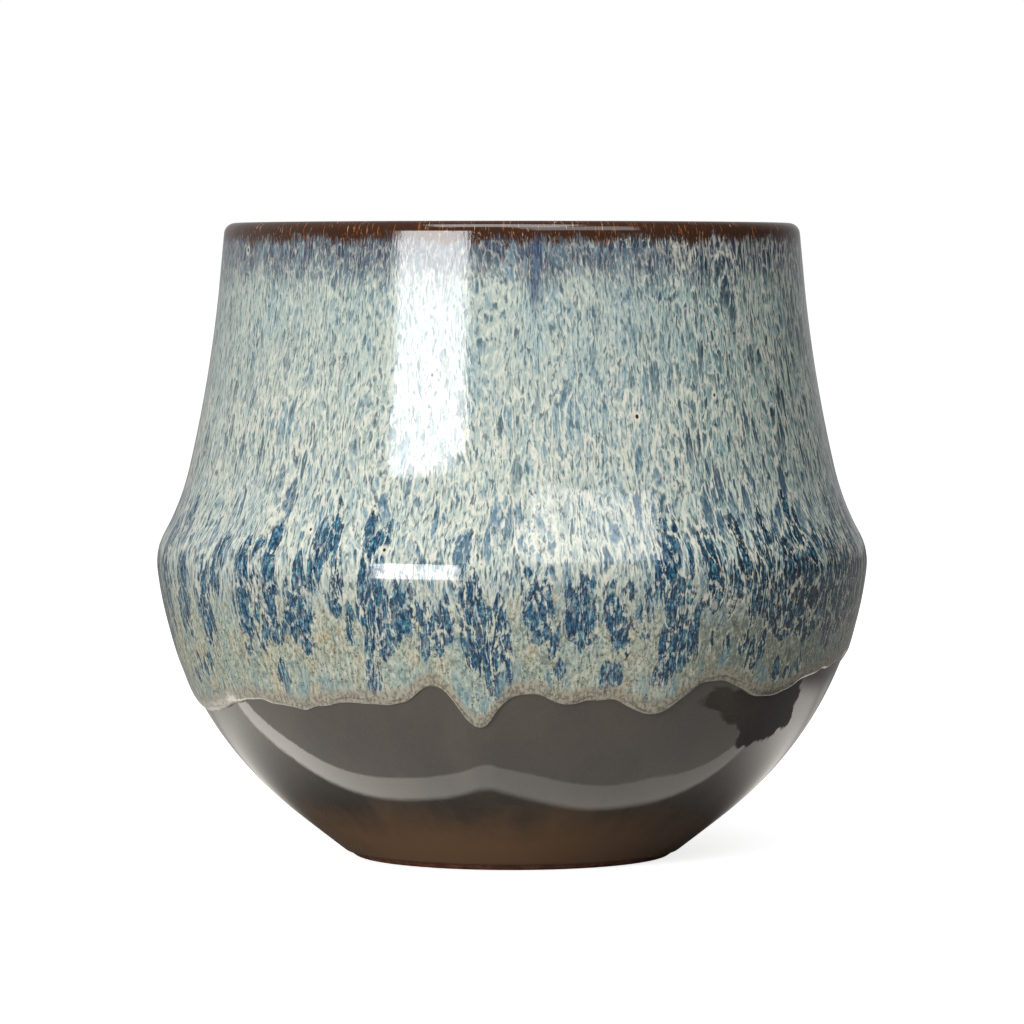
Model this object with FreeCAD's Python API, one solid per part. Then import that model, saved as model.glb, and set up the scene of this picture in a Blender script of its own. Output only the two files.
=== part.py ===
import FreeCAD, Part
import math
import os

# A keeled flower vase in reactive-glazed stoneware, upright on +Z, foot ring on z = 0.
# One thrown clay body carries four coats of glaze: a dark base coat outside, a thick
# coat that ran and stopped in a wavy drip line above the foot, a thin band where the
# glaze breaks over the lip, and a liner coat that makes the inside hold water.
# Every surface is a revolution about Z, drawn in the (radius, z) plane, y = 0.

Vector = FreeCAD.Vector

# Driving dimensions, in mm, and headings in degrees from +X towards +Z.
HEIGHT = 195.0            # table to the top of the glazed lip
WALL = 5.0                # clay wall thickness
BASE_COAT = 0.5           # dark base glaze on the outside
RUN_COAT = 0.8            # running reactive glaze on top of the base coat
LINER_COAT = 0.6          # glaze on the inside

# Outer face of the clay, from the foot up: a rounded foot corner, a straight flare,
# the bowl, the keel at the widest place, and two hollow arcs up to a straight collar.
FOOT_RADIUS = 47.3        # outer edge of the flat foot ring
FOOT_CORNER = 3.0
FLARE_SLOPE = 37.7
FLARE_LENGTH = 20.4
BOWL_RADIUS = 112.2
BOWL_END = 83.4           # heading where the bowl turns into the keel
KEEL_RADIUS = 17.0
KEEL_END = 119.0
NECK_RADIUS = 79.5
NECK_END = 103.2
COLLAR_RADIUS = 436.0
COLLAR_END = 95.3         # heading of the straight part under the lip

# Turned foot and floor.
RECESS_DEPTH = 3.0        # hollow under the base, inside the foot ring
RECESS_RADIUS = 39.5
RECESS_SLANT = 1.5
RECESS_FILLET = 1.2
FLOOR_HEIGHT = 10.0       # inside floor of the clay above the table
FLOOR_FILLET = 30.0

# Edges of the coats.
BARE_FOOT = 1.8           # clay left bare above the table
RIM_BAND = 8.0            # height of the lip band, outside and inside

# Drip line of the running coat: its crests and troughs as (angle, height). Angle 0 is
# the front, -Y, and positive angles turn towards +X.
DRIP_LINE = (
    (-3.5, 50.3), (4.0, 57.0), (9.5, 54.4), (15.5, 56.0), (24.0, 51.0), (34.0, 60.5),
    (46.0, 54.2), (57.0, 58.6), (69.0, 61.4), (80.0, 64.5), (93.0, 60.0), (106.0, 54.0),
    (118.0, 57.5), (131.0, 51.5), (143.0, 58.5), (157.0, 54.0), (169.0, 56.5),
    (182.0, 50.5), (195.0, 57.0), (207.0, 53.0), (219.0, 56.5), (233.0, 51.0),
    (246.0, 55.5), (259.0, 50.0), (271.0, 52.0), (284.0, 48.6), (297.0, 48.8),
    (313.5, 53.2), (323.0, 51.3), (335.0, 54.6), (341.5, 52.8), (348.0, 60.5),
)


def direction(heading):
    """Unit vector in the section plane."""
    angle = math.radians(heading)
    return Vector(math.cos(angle), 0, math.sin(angle))


def left_of(heading):
    """Unit vector to the left of a heading: into the wall on the way up the outside."""
    return direction(heading + 90.0)


class Path:
    """A tangent chain of lines and arcs in the section plane."""

    def __init__(self, start, heading):
        self.point = start
        self.heading = heading
        self.edges = []

    def line(self, length):
        end = self.point + direction(self.heading) * length
        self.edges.append(Part.LineSegment(self.point, end).toShape())
        self.point = end

    def arc(self, radius, heading):
        """Turn to a new heading, to either hand, on a radius that is always positive."""
        side = radius if heading > self.heading else -radius
        centre = self.point + left_of(self.heading) * side
        middle = centre - left_of((self.heading + heading) / 2) * side
        end = centre - left_of(heading) * side
        self.edges.append(Part.Arc(self.point, middle, end).toShape())
        self.point = end
        self.heading = heading


def rounded(points, radii):
    """Edges of an open outline whose inner corners are rounded by tangent arcs."""
    edges = []
    start = points[0]
    for before, corner, after, radius in zip(points, points[1:], points[2:], radii):
        back = (before - corner).normalize()
        ahead = (after - corner).normalize()
        half_angle = back.getAngle(ahead) / 2
        reach = radius / math.tan(half_angle)
        bisector = (back + ahead).normalize()
        centre = corner + bisector * (radius / math.sin(half_angle))
        entry = corner + back * reach
        leave = corner + ahead * reach
        edges.append(Part.LineSegment(start, entry).toShape())
        edges.append(Part.Arc(entry, centre - bisector * radius, leave).toShape())
        start = leave
    edges.append(Part.LineSegment(start, points[-1]).toShape())
    return edges


def outer_path(coat):
    """The outside, a coat's thickness off the clay, from the foot to the collar."""
    path = Path(Vector(FOOT_RADIUS, 0, -coat), 0.0)
    path.arc(FOOT_CORNER + coat, FLARE_SLOPE)
    path.line(FLARE_LENGTH)
    path.arc(BOWL_RADIUS + coat, BOWL_END)
    path.arc(KEEL_RADIUS + coat, KEEL_END)
    path.arc(NECK_RADIUS - coat, NECK_END)
    path.arc(COLLAR_RADIUS - coat, COLLAR_END)
    return path


def lip_radius(outer_coat, inner_coat):
    return (WALL + outer_coat + inner_coat) / 2


def collar_length():
    """Length of the straight collar that brings the glazed lip to the full height."""
    outer_coat = BASE_COAT + RUN_COAT
    to_centre = left_of(COLLAR_END) * ((WALL + LINER_COAT - outer_coat) / 2)
    low_centre = outer_path(0.0).point + to_centre
    rise = HEIGHT - lip_radius(outer_coat, LINER_COAT) - low_centre.z
    return rise / direction(COLLAR_END).z


def underside(coat):
    """From the axis to the foot corner: the recess, the flat ring, a coat's thickness."""
    ring_edge = Vector(FOOT_RADIUS, 0, 0)
    points = [
        Vector(0, 0, RECESS_DEPTH),
        Vector(RECESS_RADIUS - RECESS_SLANT, 0, RECESS_DEPTH),
        Vector(RECESS_RADIUS, 0, 0),
        ring_edge,
    ]
    edges = rounded(points, (RECESS_FILLET, RECESS_FILLET))
    if coat:
        edges.append(Part.LineSegment(ring_edge, Vector(FOOT_RADIUS, 0, -coat)).toShape())
    return edges


def inside(path, coat):
    """Carry the path down the inside, a coat's thickness off the clay, to the floor."""
    inset = WALL + coat
    path.line(collar_length())
    path.arc(COLLAR_RADIUS + inset, NECK_END + 180.0)
    path.arc(NECK_RADIUS + inset, KEEL_END + 180.0)
    path.arc(KEEL_RADIUS - inset, BOWL_END + 180.0)
    path.arc(BOWL_RADIUS - inset, FLARE_SLOPE + 180.0)
    floor = FLOOR_HEIGHT + coat
    down = direction(path.heading)
    corner = path.point + down * ((floor - path.point.z) / down.z)
    return rounded([path.point, corner, Vector(0, 0, floor)], (FLOOR_FILLET - coat,))


def vessel(outer_coat, inner_coat):
    """The whole wall as one revolution, with a coat of each thickness out and in."""
    path = outer_path(outer_coat)
    path.line(collar_length())
    path.arc(lip_radius(outer_coat, inner_coat), COLLAR_END + 180.0)
    floor = inside(path, inner_coat)
    edges = underside(outer_coat) + path.edges + floor
    axis_low = Vector(0, 0, RECESS_DEPTH)
    axis_high = Vector(0, 0, FLOOR_HEIGHT + inner_coat)
    edges.append(Part.LineSegment(axis_high, axis_low).toShape())
    section = Part.Face(Part.Wire(Part.__sortEdges__(edges)))
    return section.revolve(Vector(0, 0, 0), Vector(0, 0, 1), 360)


def slab(low, high):
    """A disc wider than the vase between two heights."""
    return Part.makeCylinder(BOWL_RADIUS * 2, high - low, Vector(0, 0, low))


def drip_ring(radius):
    """The drip line as a closed smooth curve on a cylinder of this radius."""
    points = []
    for angle, height in DRIP_LINE:
        turn = math.radians(angle)
        points.append(Vector(radius * math.sin(turn), -radius * math.cos(turn), height))
    curve = Part.BSplineCurve()
    curve.interpolate(Points=points, PeriodicFlag=True)
    return curve.toShape()


def above_drip_line():
    """A thick ring round the wall, from the drip line up."""
    skirt = Part.makeRuledSurface(drip_ring(FOOT_RADIUS), drip_ring(BOWL_RADIUS * 1.2))
    return skirt.extrude(Vector(0, 0, HEIGHT))


def clay_body():
    return vessel(0.0, 0.0)


def base_glaze():
    coat = vessel(BASE_COAT, 0.0).cut(clay_body())
    return coat.common(slab(BARE_FOOT, HEIGHT - RIM_BAND))


def reactive_glaze():
    coat = vessel(BASE_COAT + RUN_COAT, 0.0).cut(vessel(BASE_COAT, 0.0))
    below_band = coat.common(slab(0.0, HEIGHT - RIM_BAND))
    return below_band.common(above_drip_line())


def rim_glaze():
    coat = vessel(BASE_COAT + RUN_COAT, LINER_COAT).cut(clay_body())
    return coat.common(slab(HEIGHT - RIM_BAND, HEIGHT + 1.0))


def liner_glaze():
    coat = vessel(0.0, LINER_COAT).cut(clay_body())
    return coat.common(slab(0.0, HEIGHT - RIM_BAND))


def main():
    os.makedirs("parts", exist_ok=True)
    for build in (clay_body, base_glaze, reactive_glaze, rim_glaze, liner_glaze):
        name = build.__name__
        solid, = build().Solids
        box = solid.optimalBoundingBox()
        print(name, solid.isValid(), round(solid.Volume), "mm3, z", box.ZMin, box.ZMax)
        solid.exportStep(os.path.join("parts", name + ".step"))


main()
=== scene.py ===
import bpy
import math
import numpy as np
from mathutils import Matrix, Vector

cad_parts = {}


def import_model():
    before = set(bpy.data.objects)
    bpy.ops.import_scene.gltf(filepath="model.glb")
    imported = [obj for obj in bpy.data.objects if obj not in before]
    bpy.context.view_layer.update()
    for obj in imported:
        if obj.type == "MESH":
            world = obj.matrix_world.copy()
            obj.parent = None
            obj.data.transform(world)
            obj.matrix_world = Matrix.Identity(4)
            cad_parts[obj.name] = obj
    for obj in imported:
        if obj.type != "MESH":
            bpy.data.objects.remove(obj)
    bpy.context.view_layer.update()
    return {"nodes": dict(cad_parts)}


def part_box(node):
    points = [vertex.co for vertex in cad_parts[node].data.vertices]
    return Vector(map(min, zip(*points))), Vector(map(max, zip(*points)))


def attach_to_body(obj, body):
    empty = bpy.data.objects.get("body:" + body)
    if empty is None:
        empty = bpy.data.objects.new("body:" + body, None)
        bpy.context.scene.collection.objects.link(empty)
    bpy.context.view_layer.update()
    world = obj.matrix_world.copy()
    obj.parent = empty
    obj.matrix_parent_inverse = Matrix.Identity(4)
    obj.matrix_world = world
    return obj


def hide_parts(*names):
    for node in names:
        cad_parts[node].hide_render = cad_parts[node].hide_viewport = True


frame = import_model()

from types import SimpleNamespace

# A reactive-glazed stoneware vase. The clay foot shows bare; every coat of glaze is a
# closed mesh laid on the clay's outline. Lengths are in millimetres until a mesh or
# lamp is made, and heights start at the table. Angle 0 is the front, -Y, and positive
# angles turn towards +X.
MM = 0.001

# Outline of the clay, as in the CAD source: headings in degrees in the section plane.
WALL = 5.0
FOOT_RADIUS, FOOT_CORNER = 47.3, 3.0
FLARE_SLOPE, FLARE_LENGTH = 37.7, 20.4
BOWL_RADIUS, BOWL_END = 112.2, 83.4
KEEL_RADIUS, KEEL_END = 17.0, 119.0
NECK_RADIUS, NECK_END = 79.5, 103.2
COLLAR_RADIUS, COLLAR_END = 436.0, 95.3
FLOOR_HEIGHT, FLOOR_FILLET = 10.0, 30.0

# Coats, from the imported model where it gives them.
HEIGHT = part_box("rim_glaze")[1].z / MM
BAND_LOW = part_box("rim_glaze")[0].z / MM
BARE_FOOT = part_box("base_glaze")[0].z / MM
BASE_COAT, RUN_COAT, LINER_COAT = 0.5, 0.8, 0.6

PATTERN_RADIUS = 100.0    # radius of the cylinder that carries the glaze pattern
NO_PLUME = -4.0           # plume field where no plume is near
FAR_FROM_DRIP = 99.0      # distance to the drip line where there is none
SHARP_ANGLE = 50.0        # edges that turn by more than this many degrees stay crisp


# ---------------------------------------------------------------- outline of the wall

class Outline:
    """The clay's section from the foot, up the outside, over the lip and down inside.

    Each stretch keeps where it starts: distance along the outline, radius, height,
    heading and curvature, positive where it turns left.
    """

    def __init__(self, radius, height):
        self.stretches = []
        self.distance, self.radius, self.height, self.heading = 0.0, radius, height, 0.0

    def add(self, length, curvature):
        start = (self.distance, self.radius, self.height, self.heading, curvature)
        self.stretches.append(start)
        self.distance += length
        self.radius, self.height, self.heading = (
            float(v) for v in self.at(self.distance)
        )
        return self

    def line(self, length):
        return self.add(length, 0.0)

    def arc(self, radius, heading):
        turn = math.radians(heading) - self.heading
        return self.add(abs(turn) * radius, math.copysign(1.0 / radius, turn))

    def at(self, distance):
        """Radius, height and heading at each distance along the outline."""
        table = np.array(self.stretches)
        index = np.searchsorted(table[:, 0], distance, side="right") - 1
        chosen = table[np.clip(index, 0, None)]
        start, radius, height, heading, curve = np.moveaxis(chosen, -1, 0)
        run = distance - start
        turned = heading + curve * run
        bend = np.where(curve == 0.0, 1.0, curve)
        across = np.where(curve == 0.0, run * np.cos(heading),
                          (np.sin(turned) - np.sin(heading)) / bend)
        up = np.where(curve == 0.0, run * np.sin(heading),
                      (np.cos(heading) - np.cos(turned)) / bend)
        return radius + across, height + up, turned


def clay_outline():
    """The outline, and how far along it the lip starts, the inside starts and it ends."""
    path = Outline(FOOT_RADIUS, 0.0)
    path.arc(FOOT_CORNER, FLARE_SLOPE).line(FLARE_LENGTH)
    path.arc(BOWL_RADIUS, BOWL_END).arc(KEEL_RADIUS, KEEL_END)
    path.arc(NECK_RADIUS, NECK_END).arc(COLLAR_RADIUS, COLLAR_END)
    heading = math.radians(COLLAR_END)
    lip = (WALL + BASE_COAT + RUN_COAT + LINER_COAT) / 2
    shift = (WALL + LINER_COAT - BASE_COAT - RUN_COAT) / 2
    rise = HEIGHT - lip - path.height - shift * math.cos(heading)
    collar = rise / math.sin(heading)
    path.line(collar)
    marks = {"lip": path.distance}
    path.arc(WALL / 2, COLLAR_END + 180.0)
    marks["inside"] = path.distance
    path.line(collar)
    path.arc(COLLAR_RADIUS + WALL, NECK_END + 180.0)
    path.arc(NECK_RADIUS + WALL, KEEL_END + 180.0)
    path.arc(KEEL_RADIUS - WALL, BOWL_END + 180.0)
    path.arc(BOWL_RADIUS - WALL, FLARE_SLOPE + 180.0)
    slope = math.radians(FLARE_SLOPE)
    reach = FLOOR_FILLET * math.tan(slope / 2)
    path.line((path.height - FLOOR_HEIGHT) / math.sin(slope) - reach)
    path.arc(FLOOR_FILLET, 180.0)
    path.line(path.radius)
    marks["end"] = path.distance
    return path, marks


OUTLINE, MARKS = clay_outline()


def distance_at(height, inside=False):
    """Distance along the outline where the wall has this height."""
    sample_count = 4001
    low, high = (MARKS["inside"], MARKS["end"]) if inside else (0.0, MARKS["lip"])
    samples = np.linspace(low, high, sample_count)
    heights = OUTLINE.at(samples)[1]
    order = np.argsort(heights)
    return np.interp(height, heights[order], samples[order])


# --------------------------------------------------------------------- drip line

def around(count):
    """Angles of the mesh columns, in radians from the front."""
    return np.arange(count) * (2 * math.pi / count)


def drip_heights(angles):
    """Height of the running coat's lower edge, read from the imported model."""
    facing_down = -0.6
    mesh = frame["nodes"]["reactive_glaze"].data

    # Vertices at one angle, to a thousandth of a radian, count once.
    points = {}
    for face in mesh.polygons:
        if face.normal.z < facing_down:
            for index in face.vertices:
                x, y, z = mesh.vertices[index].co
                points[round(math.atan2(x, -y), 3)] = z / MM
    known = np.array(sorted(points))
    heights = np.array([points[angle] for angle in known])
    return np.interp(angles, known, heights, period=2 * math.pi)


def smooth_step(value, low, high):
    share = np.clip((value - low) / (high - low), 0.0, 1.0)
    return share * share * (3 - 2 * share)


def wander(angles, seed, waves, strongest):
    """A smooth random wave round the vase, between about -1 and 1."""
    rng = np.random.default_rng(seed)
    total = np.zeros_like(angles)
    for count in waves:
        share = min(1.0, strongest / count)
        total += share * np.sin(count * angles + rng.uniform(0, 2 * math.pi))
    return total / math.sqrt(len(waves))


def lobes(angles):
    """How far the running coat hangs below its average, -1 to 1, smoothed."""
    full_lobe = 4.0
    heights = drip_heights(angles)
    width = max(3, len(angles) // 90)
    eighth = len(angles) // 8
    kernel = np.hanning(2 * width + 1)
    kernel /= kernel.sum()
    wrapped = np.concatenate([heights[-width:], heights, heights[:width]])
    level = np.convolve(wrapped, kernel, mode="valid")
    wide = np.convolve(np.tile(level, 3), np.ones(eighth) * 8 / len(angles), "same")
    wide = wide[len(angles):2 * len(angles)]
    return np.clip((wide - level) / full_lobe, -1.0, 1.0)


# ---------------------------------------------------------------------- mesh making

def points_on(distance, thickness, angles):
    """Points a thickness off the clay, for arrays of rows by columns, in metres."""
    radius, height, heading = OUTLINE.at(distance)
    radius = radius + thickness * np.sin(heading)
    height = height - thickness * np.cos(heading)
    x = radius * np.sin(angles)
    y = -radius * np.cos(angles)
    return np.stack([x, y, height], axis=-1) * MM


def ring_mesh(name, rings, closed, attributes):
    """A mesh through rings of points: a closed loop of rings, or one capped at its ends."""
    rows, columns = rings.shape[:2]
    grid = np.arange(rows * columns).reshape(rows, columns)
    following = np.roll(grid, -1, axis=1)
    faces = []
    for row in range(rows if closed else rows - 1):
        after = (row + 1) % rows
        quads = np.stack([grid[row], following[row], following[after], grid[after]], axis=1)
        faces.append(quads)
    faces = np.concatenate(faces).tolist()
    vertices = rings.reshape(-1, 3)
    if not closed:
        ends = np.stack([rings[0].mean(0), rings[-1].mean(0)])
        first, last = len(vertices), len(vertices) + 1
        vertices = np.concatenate([vertices, ends])
        faces += [[first, following[0][i], grid[0][i]] for i in range(columns)]
        faces += [[last, grid[-1][i], following[-1][i]] for i in range(columns)]
    mesh = bpy.data.meshes.new(name)
    mesh.from_pydata(vertices.tolist(), [], faces)
    for key, values in attributes.items():
        values = np.asarray(values, np.float32)
        flat = values.reshape(rows * columns, -1)
        if len(vertices) > len(flat):
            pad = np.stack([flat[:columns].mean(0), flat[-columns:].mean(0)])
            flat = np.concatenate([flat, pad])
        kind, field = ("FLOAT_VECTOR", "vector") if flat.shape[1] == 3 else ("FLOAT", "value")
        mesh.attributes.new(key, kind, "POINT").data.foreach_set(field, flat.ravel())
    mesh.polygons.foreach_set("use_smooth", [True] * len(mesh.polygons))
    mesh.update()
    mesh.set_sharp_from_angle(angle=math.radians(SHARP_ANGLE))
    piece = bpy.data.objects.new(name, mesh)
    bpy.context.scene.collection.objects.link(piece)
    return piece


def flow_of(distance, angles):
    """Where a point lies on the unrolled pattern: round a cylinder, and along the wall."""
    distance, angles = np.broadcast_arrays(distance, angles)
    x = PATTERN_RADIUS * np.sin(angles)
    y = -PATTERN_RADIUS * np.cos(angles)
    return np.stack([x, y, distance], axis=-1)


def attach(piece, node, material):
    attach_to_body(piece, "root")
    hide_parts(node)
    piece.data.materials.append(material)


# ------------------------------------------------------------------------ plumes

# Main blue plumes below the keel at the front: angle, height of the tip, length, width.
FRONT_PLUMES = (
    (-74.0, 101.0, 30.0, 8.0), (-66.0, 98.0, 26.0, 6.0), (-58.0, 95.0, 27.0, 7.0),
    (-47.0, 104.0, 33.0, 8.0), (-41.0, 106.0, 36.0, 8.0), (-35.0, 96.0, 28.0, 7.0),
    (-28.0, 99.0, 20.0, 5.0), (-20.5, 91.0, 23.0, 10.0), (-13.0, 84.0, 9.0, 4.0),
    (-6.0, 93.0, 26.0, 8.0), (-2.0, 88.0, 34.0, 9.0), (5.5, 90.0, 17.0, 6.0),
    (11.0, 92.0, 20.0, 10.0), (15.5, 91.0, 15.0, 6.0), (20.0, 88.0, 11.0, 5.0),
    (25.0, 110.0, 30.0, 8.0), (27.0, 92.0, 30.0, 11.0), (33.0, 106.0, 27.0, 8.0),
    (38.5, 107.0, 24.0, 8.0), (43.5, 106.0, 28.0, 9.0), (49.0, 104.0, 34.0, 12.0),
    (55.0, 104.0, 34.0, 14.0), (61.0, 103.0, 32.0, 13.0), (67.0, 103.0, 33.0, 13.0),
    (74.0, 102.0, 31.0, 10.0),
)


def plume_list():
    """Every plume and oval of the blue glaze: angle, tip height, length, width."""
    rng = np.random.default_rng(11)
    found = list(FRONT_PLUMES)

    # Main plumes round the sides and back.
    for _ in range(130):
        angle = rng.uniform(80.0, 285.0)
        tip = rng.normal(99.0, 6.0)
        found.append((angle, tip, rng.uniform(12.0, 32.0), rng.uniform(4.0, 11.0)))

    # Slim plumes all round, lower at the front.
    for _ in range(260):
        angle = rng.uniform(0.0, 360.0)
        highest = 96.0 if angle < 22.0 or angle > 340.0 else 116.0
        tip = rng.uniform(84.0, highest)
        found.append((angle, tip, rng.uniform(7.0, 18.0), rng.uniform(2.2, 4.6)))

    # Small ovals near the drip line.
    for _ in range(170):
        angle = rng.uniform(0.0, 360.0)
        tip = rng.uniform(63.0, 84.0)
        found.append((angle, tip, rng.uniform(3.5, 8.0), rng.uniform(1.8, 3.4)))
    return found


def plume_field(distance, angles):
    """How far a point lies inside the nearest plume, in mm; negative outside."""
    radius = OUTLINE.at(distance)[0]
    fullness = 1.5
    field = np.full(np.broadcast(distance, angles).shape, NO_PLUME)
    plumes = plume_list()
    tips = distance_at(np.array([height for _, height, _, _ in plumes]))
    for (angle, _, length, width), tip in zip(plumes, tips):
        turn = (angles - math.radians(angle) + math.pi) % (2 * math.pi) - math.pi
        across = np.abs(turn) * radius
        fall = np.clip((tip - distance) / length, 0.0, 1.0)
        beyond = np.maximum(distance - tip, tip - length - distance)

        # Half the width of a drop, widest about two thirds of the way down.
        half = width / 2 * fullness * fall ** 0.7 * np.sqrt(1.0 - fall ** 3)
        field = np.maximum(field, half - across - np.maximum(beyond, 0.0) * 0.5)
    return field


# ------------------------------------------------------------------- shader graph

def srgb(code):
    """A linear colour from a hex code."""
    parts = [int(code[i:i + 2], 16) / 255 for i in (1, 3, 5)]
    linear = [c / 12.92 if c <= 0.04045 else ((c + 0.055) / 1.055) ** 2.4 for c in parts]
    return (*linear, 1.0)


class Graph:
    """Short names for shader nodes, for a material or a world."""

    def __init__(self, owner):
        self.owner = owner
        owner.use_nodes = True
        self.tree = owner.node_tree
        self.tree.nodes.clear()

    def feed(self, socket, value):
        if isinstance(value, bpy.types.NodeSocket):
            self.tree.links.new(value, socket)
        else:
            socket.default_value = value

    def node(self, kind, inputs, **settings):
        made = self.tree.nodes.new("ShaderNode" + kind)
        for key, value in settings.items():
            setattr(made, key, value)
        for key, value in inputs.items():
            self.feed(made.inputs[key], value)
        return made

    def attribute(self, name):
        made = self.node("Attribute", {}, attribute_name=name)
        return made.outputs["Vector" if name == "flow" else "Fac"]

    def math(self, operation, a, b=0.0, c=0.0):
        return self.node("Math", {0: a, 1: b, 2: c}, operation=operation).outputs[0]

    def add(self, a, b):
        return self.math("ADD", a, b)

    def times(self, a, b):
        return self.math("MULTIPLY", a, b)

    def sway(self, noise, amount):
        """A noise swung about zero, by up to half this amount to either side."""
        return self.times(self.add(noise, -0.5), amount)

    def vector(self, operation, a, b):
        return self.node("VectorMath", {0: a, 1: b}, operation=operation).outputs[0]

    def scaled(self, vector, across, along):
        """The pattern's coordinates in units of this size across and along the flow."""
        return self.vector("MULTIPLY", vector, (1 / across, 1 / across, 1 / along))

    def smooth(self, value, low, high):
        made = self.node("MapRange", {"Value": value, "From Min": low, "From Max": high},
                         interpolation_type="SMOOTHSTEP")
        return made.outputs["Result"]

    def between(self, value, low, high, first, last):
        """From first to last as the value goes from low to high."""
        made = self.node("MapRange", {"Value": value, "From Min": low, "From Max": high,
                                      "To Min": first, "To Max": last})
        return made.outputs["Result"]

    def mix(self, share, a, b):
        made = self.node("Mix", {0: share, 6: a, 7: b}, data_type="RGBA")
        return made.outputs[2]

    def blend(self, share, a, b):
        return self.node("Mix", {0: share, 2: a, 3: b}, data_type="FLOAT").outputs[0]

    def noise(self, vector, detail=2.0, roughness=0.5, output="Fac"):
        made = self.node("TexNoise", {"Vector": vector, "Scale": 1.0, "Detail": detail,
                                      "Roughness": roughness})
        return made.outputs[output]

    def cells(self, vector, feature="F1"):
        return self.node("TexVoronoi", {"Vector": vector, "Scale": 1.0, "Randomness": 1.0},
                         feature=feature)

    def tints(self, cell):
        """The red and green of a cell's random colour, as two random numbers."""
        parts = self.node("SeparateColor", {0: cell.outputs["Color"]})
        return parts.outputs["Red"], parts.outputs["Green"]

    def ramp(self, value, stops):
        made = self.node("ValToRGB", {0: value})
        elements = made.color_ramp.elements
        while len(elements) < len(stops):
            elements.new(0.5)
        for element, (place, colour) in zip(elements, stops):
            element.position = place
            element.color = colour
        return made.outputs["Color"]

    def height_of(self, vector):
        return self.node("SeparateXYZ", {0: vector}).outputs["Z"]

    def finish(self, colour, roughness, bump, depth, **surface):
        """End in a principled shader; the bump's depth is in mm."""
        normal = self.node("Bump", {"Height": bump, "Strength": 1.0, "Distance": depth * MM})
        shader = self.node("BsdfPrincipled", {"Base Color": colour, "Roughness": roughness,
                                              "Normal": normal.outputs[0]})
        for key, value in surface.items():
            shader.inputs[key.replace("_", " ")].default_value = value
        self.node("OutputMaterial", {"Surface": shader.outputs[0]})
        return self.owner


# ----------------------------------------------------------------------- glazes

# Ground and cells.
CREAM = srgb("#dfdece")
SAGE = srgb("#abb8b0")
TEAL = srgb("#9db2b1")
GREEN_TEAL = srgb("#8bb0aa")
BLUE_GREY = srgb("#7c98a3")
SOFT_BLUE = srgb("#6d92a2")
BLUE = srgb("#38698a")
DEEP_BLUE = srgb("#1c3447")
SLATE = srgb("#4b626d")
INK = srgb("#30414b")
INDIGO = srgb("#2d3450")
RUN_BLUE = srgb("#32496a")

# Beige ground below the keel.
BEIGE = srgb("#b3b8a2")
GREEN_BEIGE = srgb("#a2b0a1")
WARM_PATCH = srgb("#c3ab82")
COOL_PATCH = srgb("#93aeae")
# Olive for the painted shade on the beige's side with more blue.
OLIVE_SHADE = srgb("#7b7f6c")
MOTTLE_DARK = srgb("#6c7160")
MOTTLE_PALE = srgb("#dcd5bc")

# Plumes and threads.
NAVY = srgb("#1d3b54")
PLUME_PALE = srgb("#8fb3b0")
PLUME_TEAL = srgb("#4f8693")
PLUME_BLUE = srgb("#2e6182")
PLUME_DARK = srgb("#142a47")
# Near-black blue, painted as shade on the plumes' side with more blue.
PLUME_PAINTED_SHADE = srgb("#14283a")
CRACK = srgb("#d9d9c6")
THREAD_PALE = srgb("#a3b7b0")
THREAD_BLUE = srgb("#527f8e")

# Pits, drip bead and lip.
PIT = srgb("#33281f")
RUSTY_PIT = srgb("#8a6a44")
BEAD_PALE = srgb("#aaa18c")
BEAD_DARK = srgb("#776c5a")
BEAD_LINE = srgb("#54422f")
# Dark brown for the painted shade along the bead's lower edge.
BEAD_PAINTED_SHADE = srgb("#5d5347")
IRON = srgb("#3d261a")
RUST = srgb("#8d5330")
LIP_TICK = srgb("#c59a74")

# Dark glazes and bare clay.
BASE_TINT = srgb("#50473e")
BASE_FOOT_TINT = srgb("#86674b")
LINER_TINT = srgb("#4a4540")
DARK_CLOUD = srgb("#453e38")
DARK_SPECK = srgb("#6f665c")
CLAY_DARK = srgb("#6b3d2a")
CLAY_PALE = srgb("#8c5a3f")
CLAY_SPECK = srgb("#35241b")


def flow_cells(g, place, across, along):
    """One size of flow cell: distance to its edge, rise above its centre, and two tints."""
    coordinates = g.scaled(place, across, along)
    cell = g.cells(coordinates)
    edge = g.cells(coordinates, "DISTANCE_TO_EDGE").outputs["Distance"]
    centre = g.height_of(cell.outputs["Position"])
    rise = g.add(g.height_of(coordinates), g.times(centre, -1.0))
    return edge, rise, *g.tints(cell)


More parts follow.
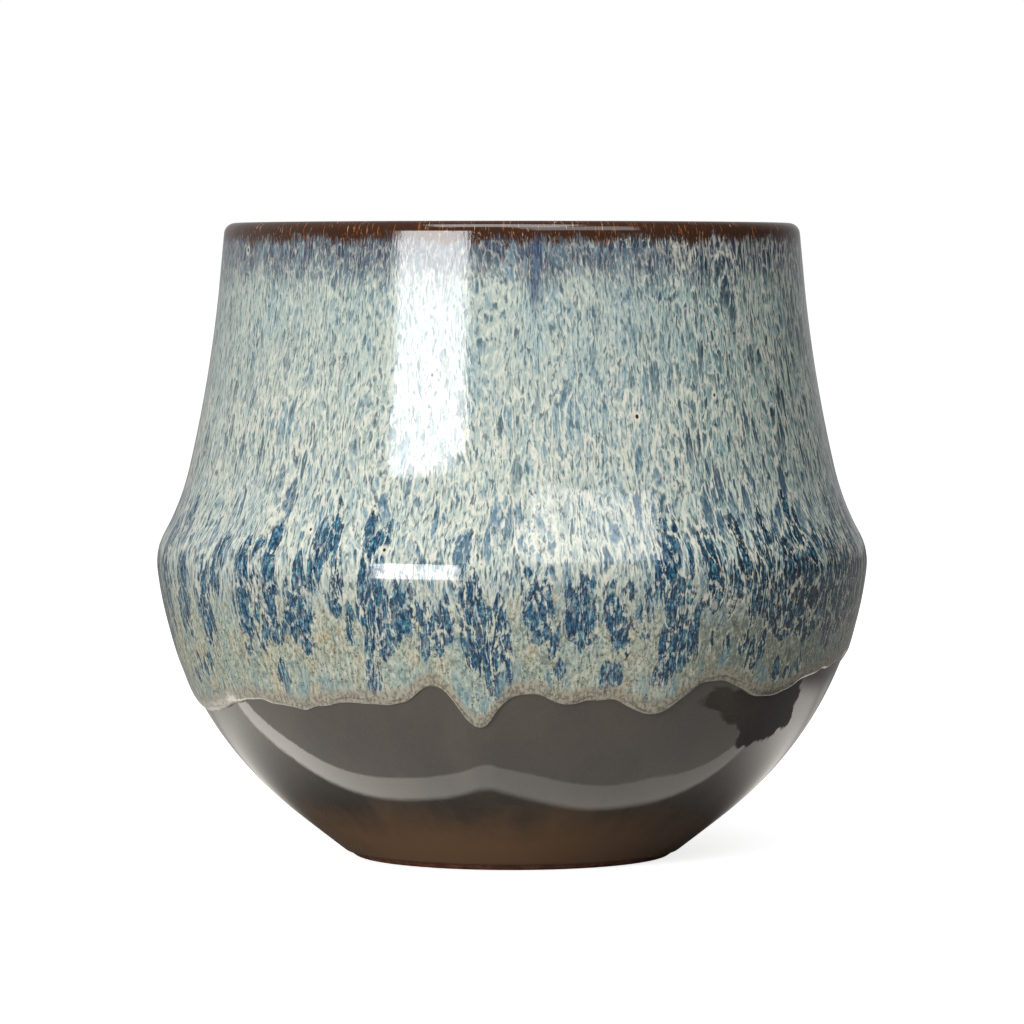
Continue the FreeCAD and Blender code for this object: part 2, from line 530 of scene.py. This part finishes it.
def glaze_fields(g):
    """What the layers of the running glaze have in common: places, noises and zones."""
    f = SimpleNamespace()
    f.flow = g.attribute("flow")
    f.level = g.attribute("level")
    f.edge = g.attribute("edge")
    f.plume = g.attribute("plume")
    f.blue_side = g.attribute("blue_side")

    # The pattern's place, warped widely and finely, and a second one shifted from it.
    middle = (0.5, 0.5, 0.5)
    wide_warp = g.noise(g.scaled(f.flow, 16.0, 60.0), output="Color")
    fine_warp = g.noise(g.scaled(f.flow, 1.4, 3.5), output="Color")
    wide_warp = g.vector("MULTIPLY", g.vector("SUBTRACT", wide_warp, middle), (12.0, 12.0, 0.0))
    fine_warp = g.vector("MULTIPLY", g.vector("SUBTRACT", fine_warp, middle), (1.4, 1.4, 2.5))
    f.place = g.vector("ADD", g.vector("ADD", f.flow, wide_warp), fine_warp)
    f.beside = g.vector("ADD", f.place, (37.0, 11.0, 53.0))

    # Noises at several scales.
    f.broad = g.noise(g.scaled(f.flow, 9.0, 30.0), 2.0)
    f.stroke = g.noise(g.scaled(f.place, 1.1, 7.0), 3.0, 0.65)
    f.fine = g.noise(g.scaled(f.place, 0.62, 3.2), 2.0, 0.6)
    f.mottle = g.noise(g.scaled(f.flow, 0.95, 1.3), 2.0, 0.7)
    f.dots = g.add(g.noise(g.scaled(f.beside, 0.72, 3.2), 1.0, 0.6), g.times(f.blue_side, 0.02))
    f.ticks = g.noise(g.scaled(f.beside, 0.6, 4.0), 3.0, 0.65)
    f.weave = g.blend(0.45, f.fine, f.mottle)

    # How far down a point is, and how far it lies on the side with more blue.
    waved = g.add(g.sway(f.broad, 60.0), g.times(f.blue_side, -16.0))
    f.midward = g.smooth(g.add(f.level, waved), 172.0, 140.0)
    f.keelward = g.smooth(g.add(f.level, g.sway(f.broad, 50.0)), 134.0, 102.0)
    f.lowward = g.smooth(g.add(f.level, g.sway(f.stroke, 40.0)), 92.0, 76.0)
    f.not_low = g.add(1.0, g.times(f.lowward, -0.9))
    f.blueness = g.add(g.times(f.blue_side, 0.22), g.sway(f.broad, 0.7))
    # The side with more blue: bluer glaze there, and also painted darker, as shade.
    f.darker_side = g.smooth(f.blue_side, -0.05, 0.50)
    f.bold = g.math("MAXIMUM", f.midward, g.times(f.darker_side, 0.85))

    # Heights with a ragged edge: fine for the lip, coarse for what lies below it.
    f.lift = g.add(f.level, g.add(g.sway(f.ticks, 10.0), g.sway(f.broad, 6.0)))
    f.sink = g.add(f.level, g.add(g.sway(f.ticks, 24.0), g.sway(f.broad, 16.0)))
    return f


def beige_ground(g, f):
    """The speckled beige below the keel, darker on the side with more blue as painted shade."""
    toned = g.add(f.stroke, g.sway(f.broad, 0.8))
    beige = g.mix(g.smooth(toned, 0.42, 0.60), BEIGE, GREEN_BEIGE)
    patches = g.noise(g.scaled(f.flow, 6.0, 7.0), 3.0)
    beige = g.mix(g.times(g.smooth(patches, 0.52, 0.66), 0.6), beige, WARM_PATCH)
    beige = g.mix(g.times(g.smooth(patches, 0.47, 0.36), 0.6), beige, COOL_PATCH)
    # Olive on the side with more blue: painted shade.
    beige = g.mix(g.times(f.darker_side, 0.75), beige, OLIVE_SHADE)
    beige = g.mix(g.times(g.smooth(f.mottle, 0.50, 0.62), 0.8), beige, MOTTLE_DARK)
    return g.mix(g.times(g.smooth(f.mottle, 0.45, 0.34), 0.7), beige, MOTTLE_PALE)


def ground_layer(g, f):
    """Ground: sage to teal, beige below the keel, indigo near the lip."""
    toned = g.add(f.broad, g.times(f.blue_side, 0.10))
    ground = g.mix(g.smooth(toned, 0.40, 0.62), SAGE, TEAL)
    ground = g.mix(g.times(f.lowward, 0.95), ground, beige_ground(g, f))
    ground = g.mix(g.times(g.times(f.darker_side, f.not_low), 0.6), ground, GREEN_TEAL)
    soft = g.smooth(g.add(f.stroke, g.times(f.blueness, 0.2)), 0.50, 0.64)
    soft = g.times(g.times(soft, f.not_low), 0.55)
    colour = g.mix(soft, ground, g.mix(f.keelward, BLUE_GREY, SOFT_BLUE))
    return g.mix(g.times(g.smooth(f.sink, 172.0, 185.0), 0.95), colour, INDIGO)


def cell_layer(g, f, colour):
    """Cells drawn out by the flow: shaded under the upper tip, with a cream edge round it."""
    small = (f.beside, 1.5, 6.0, 1.0)
    large = (f.place, 3.0, 14.0, g.blend(f.bold, 0.35, 1.0))
    for place, across, along, amount in (small, large):
        rim, rise, tint, other = flow_cells(g, place, across, along)
        frayed = g.add(rim, g.sway(f.fine, 0.22))
        shown = g.times(f.not_low, amount)
        upper = g.smooth(g.add(rise, g.sway(f.fine, 0.8)), -0.6, 0.25)
        shaded = g.smooth(g.add(tint, g.times(f.blueness, 0.5)), 0.30, 0.85)
        tone = g.mix(g.smooth(g.add(other, g.times(rise, 0.4)), 0.35, 0.85), BLUE_GREY, SLATE)
        # Deep blue on the side with more blue: partly the glaze's own blue, partly painted shade.
        tone = g.mix(g.times(f.darker_side, 0.95), tone, DEEP_BLUE)
        tone = g.mix(g.times(f.keelward, 0.6), tone, BLUE)
        dark = g.times(g.times(shaded, upper), g.times(g.smooth(frayed, 0.05, 0.16), shown))
        colour = g.mix(g.times(dark, 0.9), colour, tone)
        lace = g.times(g.smooth(frayed, 0.12, 0.0), g.smooth(rise, -0.7, -0.1))
        strength = g.blend(f.bold, 0.35, g.blend(f.darker_side, 0.75, 0.85))
        colour = g.mix(g.times(g.times(lace, shown), strength), colour, CREAM)
    return colour


def plume_layer(g, f, colour):
    """Plumes near the keel: blue that fades out at the tail, a cream crack round each.

    Also returns how far the plumes cover what is under them.
    """
    covered = 0.0
    limits = {0: g.times(f.plume, 0.5), "Min": -1.0, "Max": 1.0}
    bundle = g.node("Clamp", limits).outputs[0]
    stops = ((0.36, PLUME_PALE), (0.42, PLUME_TEAL), (0.48, PLUME_BLUE), (0.55, NAVY),
             (0.64, PLUME_DARK))
    blue = g.ramp(f.weave, stops)
    # Darkest blue on the side with more blue: painted shade.
    blue = g.mix(g.times(f.darker_side, g.smooth(f.weave, 0.44, 0.54)), blue, PLUME_PAINTED_SHADE)
    large = (f.place, 4.6, 17.0, 0.55, 0.60)
    small = (f.beside, 2.7, 9.0, 0.66, 0.62)
    for place, across, along, bar, spread in (large, small):
        rim, rise, tint, _ = flow_cells(g, place, across, along)
        frayed = g.add(rim, g.sway(f.weave, 0.60))
        body = g.smooth(frayed, 0.0, 0.10)
        dense = g.add(g.times(g.add(bundle, 0.2), spread), g.times(g.add(f.keelward, -1.0), 0.35))
        chosen = g.add(g.add(tint, dense), g.times(f.blueness, 0.1))
        wanted = g.smooth(chosen, bar, bar + 0.08)
        tail = g.smooth(g.add(rise, g.sway(f.fine, 2.0)), -0.75, -0.25)
        near = g.times(g.smooth(chosen, bar - 0.2, bar), f.keelward)
        crack = g.times(g.smooth(frayed, 0.09, 0.0), near)
        colour = g.mix(g.times(crack, g.blend(f.darker_side, 0.45, 0.9)), colour, CRACK)
        filled = g.times(wanted, g.times(body, tail))
        covered = g.math("MAXIMUM", covered, filled)
        colour = g.mix(g.times(filled, 0.95), colour, blue)
    return colour, covered


def dash_layer(g, f, colour, covered):
    """Short dark and light dashes through everything."""
    dark = g.times(g.smooth(f.dots, 0.52, 0.70), g.blend(f.lowward, 0.80, 0.45))
    colour = g.mix(dark, colour, g.mix(f.keelward, SLATE, INK))
    # Fewer pale dashes on the side with more blue, darker there partly as painted shade.
    amount = g.blend(f.darker_side, 0.55, 0.35)
    amount = g.blend(g.smooth(f.sink, 178.0, 188.0), amount, 0.25)
    pale = g.times(g.smooth(f.dots, 0.46, 0.30), amount)
    return g.mix(g.times(pale, g.add(1.0, g.times(covered, -0.6))), colour, CREAM)


def thread_layer(g, f, colour):
    """Translucent threads just above the drip bead."""
    patch = g.noise(g.scaled(f.place, 3.6, 26.0), 2.0)
    frayed = g.add(f.edge, g.sway(f.fine, 14.0))
    veil = g.times(g.smooth(frayed, 15.0, 8.0), g.smooth(frayed, 0.5, 3.5))
    veil = g.times(veil, g.smooth(patch, 0.53, 0.60))
    thread = g.mix(g.smooth(f.fine, 0.38, 0.60), THREAD_PALE, THREAD_BLUE)
    return g.mix(g.times(veil, 0.75), colour, thread)


def pit_layer(g, f, colour):
    """Pits and rusty specks, mostly in the beige, and how pitted a point is."""
    pits = g.cells(g.scaled(f.flow, 1.5, 1.6))
    chance = g.tints(pits)[1]
    near = g.times(g.smooth(pits.outputs["Distance"], 0.24, 0.14), g.smooth(chance, 0.40, 0.45))
    pitted = g.times(near, g.blend(f.lowward, 0.15, 0.85))
    colour = g.mix(pitted, colour, g.mix(g.smooth(chance, 0.94, 0.96), PIT, RUSTY_PIT))
    return colour, pitted


def pinhole_layer(g, f, colour):
    """A few black pinholes above the beige, each in a pale ring."""
    pins = g.cells(g.scaled(f.flow, 8.0, 10.0))
    off_pin = pins.outputs["Distance"]
    few = g.times(g.smooth(g.tints(pins)[0], 0.66, 0.70), f.not_low)
    colour = g.mix(g.times(g.times(g.smooth(off_pin, 0.22, 0.10), few), 0.7), colour, CREAM)
    return g.mix(g.times(g.smooth(off_pin, 0.085, 0.055), few), colour, PIT)


def bead_layer(g, f, colour):
    """The speckled drip bead, with a thin broken line along it and painted shade along its lower
    edge.
    """
    bead = g.smooth(g.add(f.edge, g.sway(f.mottle, 6.0)), 6.0, 3.6)
    speckle = g.mix(g.smooth(f.mottle, 0.44, 0.60), BEAD_PALE, BEAD_DARK)
    colour = g.mix(g.times(bead, 0.8), colour, speckle)
    off_line = g.math("ABSOLUTE", g.add(f.edge, g.add(g.times(f.broad, -2.5), -0.6)))
    broken = g.smooth(g.noise(g.scaled(f.flow, 12.0, 90.0)), 0.45, 0.60)
    line = g.times(g.smooth(off_line, 0.5, 0.1), broken)
    colour = g.mix(g.times(line, 0.6), colour, BEAD_LINE)
    # Darker along the bead's lower edge: painted shade under its rounded nose.
    return g.mix(g.smooth(f.edge, 0.9, 0.2), colour, BEAD_PAINTED_SHADE)


def single_run_layer(g, f, colour):
    """One dark blue run under the lip, a little right of the front."""
    run_at = 8.5
    parts = g.node("SeparateXYZ", {0: f.flow})
    off_run = g.add(parts.outputs["X"], g.add(g.sway(f.broad, 5.0), -run_at))
    off_run = g.add(g.math("ABSOLUTE", off_run), g.sway(f.ticks, 3.0))
    run = g.times(g.smooth(off_run, 2.0, 0.8), g.smooth(f.sink, 166.0, 177.0))
    at_front = g.smooth(parts.outputs["Y"], 0.0, -1.0)
    return g.mix(g.times(g.times(run, at_front), 0.6), colour, RUN_BLUE)


def lip_layer(g, f, colour):
    """Iron brown with rusty and pale ticks, where the coat thins at the lip."""
    rusty = g.smooth(g.noise(g.scaled(f.flow, 0.6, 3.0), 2.0), 0.60, 0.72)
    iron = g.mix(rusty, IRON, RUST)
    few = g.smooth(g.noise(g.scaled(f.beside, 0.5, 2.2), 2.0), 0.62, 0.70)
    few = g.times(few, g.smooth(f.broad, 0.42, 0.60))
    iron = g.mix(g.times(few, 0.8), iron, LIP_TICK)
    return g.mix(g.smooth(f.lift, 187.5, 190.5), colour, iron)


def running_glaze(name):
    """Blue and cream running glaze, layer on layer."""
    g = Graph(bpy.data.materials.new(name))
    f = glaze_fields(g)
    colour = cell_layer(g, f, ground_layer(g, f))
    colour, covered = plume_layer(g, f, colour)
    colour = dash_layer(g, f, colour, covered)
    colour = thread_layer(g, f, colour)
    colour, pitted = pit_layer(g, f, colour)
    colour = pinhole_layer(g, f, colour)
    colour = bead_layer(g, f, colour)
    colour = single_run_layer(g, f, colour)
    colour = lip_layer(g, f, colour)
    height = g.add(g.times(f.stroke, 0.5), g.times(pitted, -1.5))
    roughness = g.add(0.07, g.times(pitted, 0.3))
    return g.finish(colour, roughness, height, 0.05, IOR=1.58)


def dark_glaze(name, tint, foot_tint=None):
    """Dark gloss glaze, cloudy and finely speckled, with another tint near the foot if given."""
    g = Graph(bpy.data.materials.new(name))
    flow = g.attribute("flow")
    cloud = g.noise(g.scaled(flow, 22.0, 26.0), 4.0, 0.6)
    speck = g.noise(g.scaled(flow, 0.45, 0.45), 2.0, 0.7)
    colour = g.mix(g.smooth(cloud, 0.35, 0.65), tint, DARK_CLOUD)
    if foot_tint:
        footward = g.smooth(g.add(g.attribute("level"), g.sway(cloud, 14.0)), 25.0, 8.0)
        colour = g.mix(footward, colour, foot_tint)
    colour = g.mix(g.times(g.smooth(speck, 0.52, 0.75), 0.3), colour, DARK_SPECK)
    return g.finish(colour, 0.02, g.noise(g.scaled(flow, 3.0, 3.0), 2.0), 0.016, IOR=1.5)


def bare_clay(name):
    """Matt red-brown clay with dark specks."""
    g = Graph(bpy.data.materials.new(name))
    place = g.node("TexCoord", {}).outputs["Object"]
    place = g.vector("MULTIPLY", place, (1 / MM, 1 / MM, 1 / MM))
    tone = g.noise(g.scaled(place, 4.0, 4.0), 4.0, 0.6)
    speck = g.noise(g.scaled(place, 0.6, 0.6), 2.0, 0.7)
    colour = g.mix(g.smooth(tone, 0.35, 0.65), CLAY_DARK, CLAY_PALE)
    colour = g.mix(g.smooth(speck, 0.62, 0.72), colour, CLAY_SPECK)
    return g.finish(colour, 0.75, speck, 0.08)


# ----------------------------------------------------------------------- pieces

COLUMNS = 1024            # round the running coat, for its ragged lower edge
PLAIN_COLUMNS = 512       # round the other coats
NOSE = 1.3                # how far the rounded nose of the running coat reaches up
BEAD_TOP = 9.0            # where the thick bead above the nose has thinned out


def base_thickness(distance, angles):
    """Base coat's thickness: fuller under the lobes of the running coat."""
    mean_swell = 0.5
    height = OUTLINE.at(distance)[1]
    shown = smooth_step(height, 16.0, 46.0) * smooth_step(height, 75.0, 60.0)
    return BASE_COAT + mean_swell * (1 + lobes(angles[0]))[None, :] * shown


def running_rows(low, high):
    """Distances of the running coat's rows, from its ragged lower edge to its top."""
    nose = NOSE * (1 - np.cos(np.linspace(0, math.pi / 2, 6)))
    above = np.concatenate([nose, np.linspace(NOSE + 0.5, BEAD_TOP, 12)])
    rows = [low + rise for rise in above]
    rows += [low + BEAD_TOP + (high - low - BEAD_TOP) * part for part in np.linspace(0, 1, 65)[1:]]
    return np.concatenate(rows)


def running_coat():
    """The thick coat: a rounded nose and bead at the drip line, then an even layer."""
    angles = around(COLUMNS)[None, :]
    waver = 0.25 * wander(angles[0], seed=5, waves=range(40, 90, 7), strongest=50)
    low = distance_at(drip_heights(angles[0]) + waver)[None, :]
    outer = running_rows(low, float(distance_at(BAND_LOW)))
    rise = outer - low
    front = np.sqrt(1 - np.clip(1 - rise / NOSE, 0, 1) ** 2)
    mean_bead, bead_swing, bead_full = 0.35, 0.25, 2.0
    bead = mean_bead + bead_swing * lobes(angles[0])[None, :]
    fullness = RUN_COAT + bead * smooth_step(rise, BEAD_TOP, bead_full)
    thickness = base_thickness(outer, angles) + fullness * front

    # Higher up, both coats settle to one even thickness.
    uneven_to, even_from = 12.0, 30.0
    even = BASE_COAT + RUN_COAT
    settle = np.where(rise < NOSE, 1.0, smooth_step(rise, even_from, uneven_to))
    thickness = even + (thickness - even) * settle

    # The back repeats some rows from the top down, closest where the wall bends most.
    back = outer[::-1][[0, 11, 22, 33, 36, 39, 42, 45, 47, 49, 51, 57, 65, 73, 81]]
    back_thickness = np.full(back.shape, BASE_COAT * 0.8)
    distance = np.concatenate([outer, back])
    rings = points_on(distance, np.concatenate([thickness, back_thickness]), angles)

    # More blue on the right, with three weaker swings round the vase and a random part; the glaze is
    # also painted darker there, as shade.
    blue_side = 0.7 * np.sin(angles - 0.3) - 0.3 * np.cos(3 * angles)
    blue_side = blue_side + 0.15 * wander(angles, seed=3, waves=range(3, 9), strongest=4)
    data = {
        "flow": flow_of(distance, angles),
        "level": OUTLINE.at(distance)[1],
        "edge": distance - low,
        "plume": plume_field(distance, angles),
        "blue_side": np.broadcast_to(blue_side, distance.shape),
    }
    return ring_mesh("reactive_glaze_coat", rings, True, data)


def all_round(columns, angles):
    """Columns of values, one under another, repeated at every angle."""
    rows = np.concatenate(columns)
    return np.broadcast_to(rows, (len(rows), angles.shape[1]))


def band_coat():
    """The lip band, over the lip from one lower edge to the other."""
    angles = around(PLAIN_COLUMNS)[None, :]
    low = float(distance_at(BAND_LOW))
    high = float(distance_at(BAND_LOW, inside=True))
    lip, inside = MARKS["lip"], MARKS["inside"]
    over_lip = np.linspace(lip, inside, 20)[1:]
    stations = np.concatenate([np.linspace(low, lip, 6), over_lip, np.linspace(inside, high, 5)[1:]])
    stations = stations[:, None]
    outside = BASE_COAT + RUN_COAT
    thick = outside + (LINER_COAT - outside) * smooth_step(stations, lip, inside)
    back = stations[::-1]
    distance = all_round([stations, back], angles)
    rings = points_on(distance, all_round([thick, np.zeros_like(back)], angles), angles)
    data = {
        "flow": flow_of(distance, angles),
        "level": OUTLINE.at(distance)[1],
        "edge": np.full(distance.shape, FAR_FROM_DRIP),
        "plume": np.full(distance.shape, NO_PLUME),
        "blue_side": np.broadcast_to(np.sin(angles), distance.shape),
    }
    return ring_mesh("rim_glaze_band", rings, True, data)


def base_coat():
    """The dark coat outside, thinned to a blunt edge above the bare foot."""
    angles = around(PLAIN_COLUMNS)[None, :]
    hidden_from = 70.0
    low = float(distance_at(BARE_FOOT))
    middle = float(distance_at(hidden_from))
    high = float(distance_at(BAND_LOW))
    seen = np.linspace(low, middle, 90)
    stations = np.concatenate([seen, np.linspace(middle, high, 40)[1:]])[:, None]
    thick = base_thickness(all_round([stations], angles), angles)
    thick *= smooth_step(stations, low - 0.4, low + 1.2)
    back = stations[::-1][::4]
    distance = all_round([stations, back], angles)
    thickness = np.concatenate([thick, np.zeros((len(back), PLAIN_COLUMNS))])
    rings = points_on(distance, thickness, angles)
    data = {"flow": flow_of(distance, angles), "level": OUTLINE.at(distance)[1]}
    return ring_mesh("base_glaze_coat", rings, True, data)


def liner_coat():
    """The inside coat, capped at the middle of the floor."""
    angles = around(PLAIN_COLUMNS)[None, :]
    cap_radius = 0.5
    high = float(distance_at(BAND_LOW, inside=True))
    stations = np.linspace(high, MARKS["end"] - cap_radius, 121)[:, None]
    back = stations[::-1][::2]
    distance = all_round([back, stations], angles)
    thickness = all_round([np.zeros_like(back), np.full_like(stations, LINER_COAT)], angles)
    rings = points_on(distance, thickness, angles)
    return ring_mesh("liner_glaze_coat", rings, False, {"flow": flow_of(distance, angles)})


attach(running_coat(), "reactive_glaze", running_glaze("running_glaze"))
attach(band_coat(), "rim_glaze", running_glaze("lip_glaze"))
attach(base_coat(), "base_glaze", dark_glaze("dark_glaze", BASE_TINT, BASE_FOOT_TINT))
attach(liner_coat(), "liner_glaze", dark_glaze("liner_glaze", LINER_TINT))
clay = frame["nodes"]["clay_body"]
clay.data.materials.clear()
clay.data.materials.append(bare_clay("bare_clay"))


# ------------------------------------------------------------- floor, lights, camera

LEAN = -0.45              # the bright side behind the vase turns by this much of x


def painted_table_reflection(g, x, y, reach):
    """Painted reflection of a table for mirrored rays: its lit front edges, its top and the room
    before it.

    The two front edges meet in a rounded corner before the vase. A strip along them is
    lit, the top inside it fades into painted shade towards the vase, and the front is dim.
    """
    corner = g.add(x, 0.008)
    off_corner = g.math("SQRT", g.math("MULTIPLY_ADD", corner, corner, 0.0001))
    bent = g.add(g.times(off_corner, -0.60), g.times(corner, 0.055))
    edge = g.add(g.add(y, 0.003), bent)
    behind_edge = g.smooth(edge, -0.098, -0.096)
    past_strip = g.smooth(edge, -0.086, -0.082)
    on_table = g.times(g.smooth(g.math("ABSOLUTE", x), 0.20, 0.165), g.smooth(y, 0.40, 0.25))
    off_table = 0.12
    strip = g.blend(on_table, off_table, g.between(x, -0.10, 0.05, 3.6, 1.3))
    top = g.times(g.between(y, 0.03, 0.16, 1.5, 0.4), g.smooth(reach, 0.065, 0.150))
    top = g.blend(on_table, off_table, top)
    front = g.blend(g.smooth(reach, 0.22, 0.14), 0.1, g.between(x, -0.05, 0.10, 1.0, 0.6))
    return g.blend(behind_edge, front, g.blend(past_strip, strip, top))


def outside_dark_reflection(g, place, x, y):
    """0 inside a ragged dark oval at the right of the vase, a painted dark reflection; 1 outside it.
    """
    right, back = g.add(x, -0.153), g.add(y, 0.012)
    long_half, short_half = 0.068, 0.036
    cosine, sine = 0.447, 0.894
    long_way = g.times(g.add(g.times(right, cosine), g.times(back, sine)), 1 / long_half)
    short_way = g.times(g.add(g.times(right, sine), g.times(back, -cosine)), 1 / short_half)
    away = g.add(g.times(long_way, long_way), g.times(short_way, short_way))
    ragged = g.sway(g.noise(g.scaled(place, 0.03, 0.03), 3.0), 2.0)
    return g.smooth(g.add(away, ragged), 0.95, 1.1)


def paper(g, base, tint, brightness):
    """A matt surface that also gives off light."""
    shader = g.node("BsdfPrincipled", {"Base Color": (base, base, base, 1.0), "Roughness": 0.9,
                                       "Emission Color": tint, "Emission Strength": brightness})
    return shader.outputs[0]


def floor_paper():
    """White to the eye; to other rays dim, and to mirrored rays a painted reflection: the table and
    a dark oval.
    """
    g = Graph(bpy.data.materials.new("floor_paper"))
    place = g.node("TexCoord", {}).outputs["Object"]
    parts = g.node("SeparateXYZ", {0: place})
    x, y = parts.outputs["X"], parts.outputs["Y"]
    reach = g.node("VectorMath", {0: place}, operation="LENGTH").outputs["Value"]
    # Painted reflection: a lit table with a dark oval, seen by mirrored rays only.
    mirrored = g.times(painted_table_reflection(g, x, y, reach), outside_dark_reflection(g, place, x, y))
    glow = g.between(g.math("MULTIPLY_ADD", x, LEAN, y), 0.0, 0.05, 0.03, 0.7)
    ray = g.node("LightPath", {}).outputs
    glow = g.blend(ray["Is Glossy Ray"], glow, mirrored)
    dim = paper(g, 0.16, (1.0, 0.95, 0.88, 1.0), glow)
    white = paper(g, 0.85, (1.0, 1.0, 1.0, 1.0), g.between(reach, 0.2, 1.2, 0.80, 1.0))
    shown = g.node("MixShader", {0: ray["Is Camera Ray"], 1: dim, 2: white})
    g.node("OutputMaterial", {"Surface": shown.outputs[0]})
    return g.owner


def floor():
    """A flat sheet to the horizon."""
    half = 60.0
    corners = [(-half, -half, 0), (half, -half, 0), (half, half, 0), (-half, half, 0)]
    mesh = bpy.data.meshes.new("floor")
    mesh.from_pydata(corners, [], [(0, 1, 2, 3)])
    mesh.materials.append(floor_paper())
    made = bpy.data.objects.new("floor", mesh)
    bpy.context.scene.collection.objects.link(made)


def softbox(name, angle, elevation, distance, width, height, power):
    """A rectangular softbox that faces the vase, from an angle round the front."""
    aim = Vector((0, 0, 0.12))
    turn, lift = math.radians(angle), math.radians(elevation)
    level = math.cos(lift)
    away = Vector((math.sin(turn) * level, -math.cos(turn) * level, math.sin(lift)))
    lamp = bpy.data.lights.new(name, "AREA")
    lamp.shape = "RECTANGLE"
    lamp.size, lamp.size_y, lamp.energy = width, height, power
    made = bpy.data.objects.new(name, lamp)
    made.location = aim + away * distance
    made.rotation_euler = away.to_track_quat("Z", "Y").to_euler()
    bpy.context.scene.collection.objects.link(made)


def world():
    """A studio that is bright behind the vase and dim in front; plain white to the eye."""
    made = bpy.data.worlds.new("studio")
    bpy.context.scene.world = made
    g = Graph(made)
    direction = g.node("TexCoord", {}).outputs["Generated"]
    parts = g.node("SeparateXYZ", {0: direction})
    behind = g.math("MULTIPLY_ADD", parts.outputs["X"], LEAN, parts.outputs["Y"])
    light = g.between(behind, 0.1, 0.9, 0.07, 0.34)
    lit = g.node("Background", {"Color": (0.97, 0.985, 1.0, 1.0), "Strength": light})
    seen = g.node("Background", {"Color": (1.0, 1.0, 1.0, 1.0), "Strength": 1.0})
    ray = g.node("LightPath", {}).outputs["Is Camera Ray"]
    mixed = g.node("MixShader", {0: ray, 1: lit.outputs[0], 2: seen.outputs[0]})
    g.node("OutputWorld", {"Surface": mixed.outputs[0]})


def camera():
    """Long lens, a little under the height of the lip, tilted down to the vase."""
    distance, height, tilt = 1.680, 0.1804, 2.54
    lens = bpy.data.cameras.new("camera")
    lens.sensor_width, lens.lens = 36.0, 191.3
    lens.clip_end = 200.0
    made = bpy.data.objects.new("camera", lens)
    made.location = (0.0, -distance, height)
    made.rotation_euler = (math.radians(90.0 - tilt), 0.0, 0.0)
    bpy.context.scene.collection.objects.link(made)
    bpy.context.scene.camera = made


floor()
world()
softbox("key", angle=-30.5, elevation=9.2, distance=1.6, width=0.76, height=0.71, power=17.5)
softbox("top_right", angle=30.0, elevation=42.0, distance=1.4, width=1.0, height=0.8, power=6.5)
softbox("ceiling", angle=-8.0, elevation=70.0, distance=1.5, width=1.0, height=0.8, power=12.0)
camera()
bpy.context.scene.view_settings.view_transform = "Standard"
